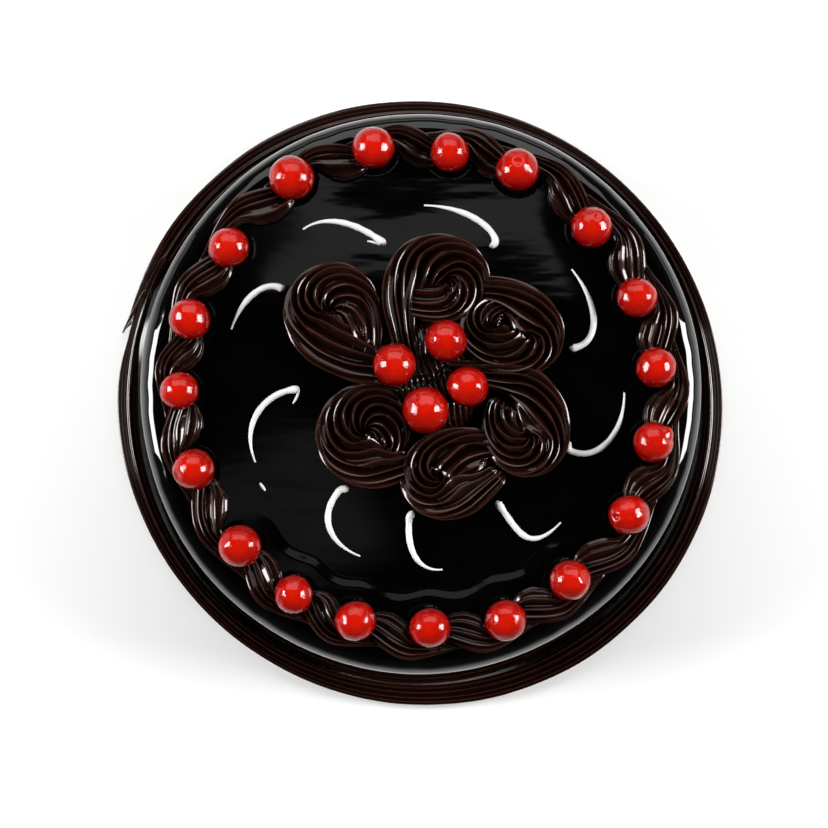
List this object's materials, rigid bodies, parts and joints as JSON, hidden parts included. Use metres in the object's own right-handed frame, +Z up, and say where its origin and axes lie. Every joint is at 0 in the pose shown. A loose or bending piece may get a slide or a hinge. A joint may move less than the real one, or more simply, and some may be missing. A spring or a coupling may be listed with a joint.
{
  "type": "truffle cake",
  "caption": "Round chocolate truffle cake with mirror glaze, a piped rope round its foot, piped shells with cherries round its rim, a piped flower with cherries and white icing curls.",
  "frame": {"origin": "centre of the cake's flat base", "axes": "+Z up out of the cake's top, +Y away from the side the picture was taken from, +X to its right"},
  "size_m": [0.206, 0.206, 0.0802],
  "materials": {
    "glaze": "mirror-gloss dark chocolate glaze",
    "ganache": "satin piped chocolate ganache",
    "cherry": "glossy candied cherry",
    "white_icing": "satin white icing"
  },
  "bodies": {
    "root": {"cake_body": "glaze", "foot_rope": "ganache", "rim_shell_01": "ganache", "rim_shell_02": "ganache", "rim_shell_03": "ganache", "rim_shell_04": "ganache", "rim_shell_05": "ganache", "rim_shell_06": "ganache", "rim_shell_07": "ganache", "rim_shell_08": "ganache", "rim_shell_09": "ganache", "rim_shell_10": "ganache", "rim_shell_11": "ganache", "rim_shell_12": "ganache", "rim_shell_13": "ganache", "rim_shell_14": "ganache", "rim_shell_15": "ganache", "rim_shell_16": "ganache", "rim_shell_17": "ganache", "rim_shell_18": "ganache", "rim_shell_19": "ganache", "rosette_1": "ganache", "rosette_2": "ganache", "rosette_3": "ganache", "rosette_4": "ganache", "rosette_5": "ganache", "rosette_6": "ganache", "heart": "ganache", "rim_cherry_01": "cherry", "rim_cherry_02": "cherry", "rim_cherry_03": "cherry", "rim_cherry_04": "cherry", "rim_cherry_05": "cherry", "rim_cherry_06": "cherry", "rim_cherry_07": "cherry", "rim_cherry_08": "cherry", "rim_cherry_09": "cherry", "rim_cherry_10": "cherry", "rim_cherry_11": "cherry", "rim_cherry_12": "cherry", "rim_cherry_13": "cherry", "rim_cherry_14": "cherry", "rim_cherry_15": "cherry", "rim_cherry_16": "cherry", "rim_cherry_17": "cherry", "rim_cherry_18": "cherry", "rim_cherry_19": "cherry", "heart_cherry_1": "cherry", "heart_cherry_2": "cherry", "heart_cherry_3": "cherry", "heart_cherry_4": "cherry"}
  },
  "joints": []
}
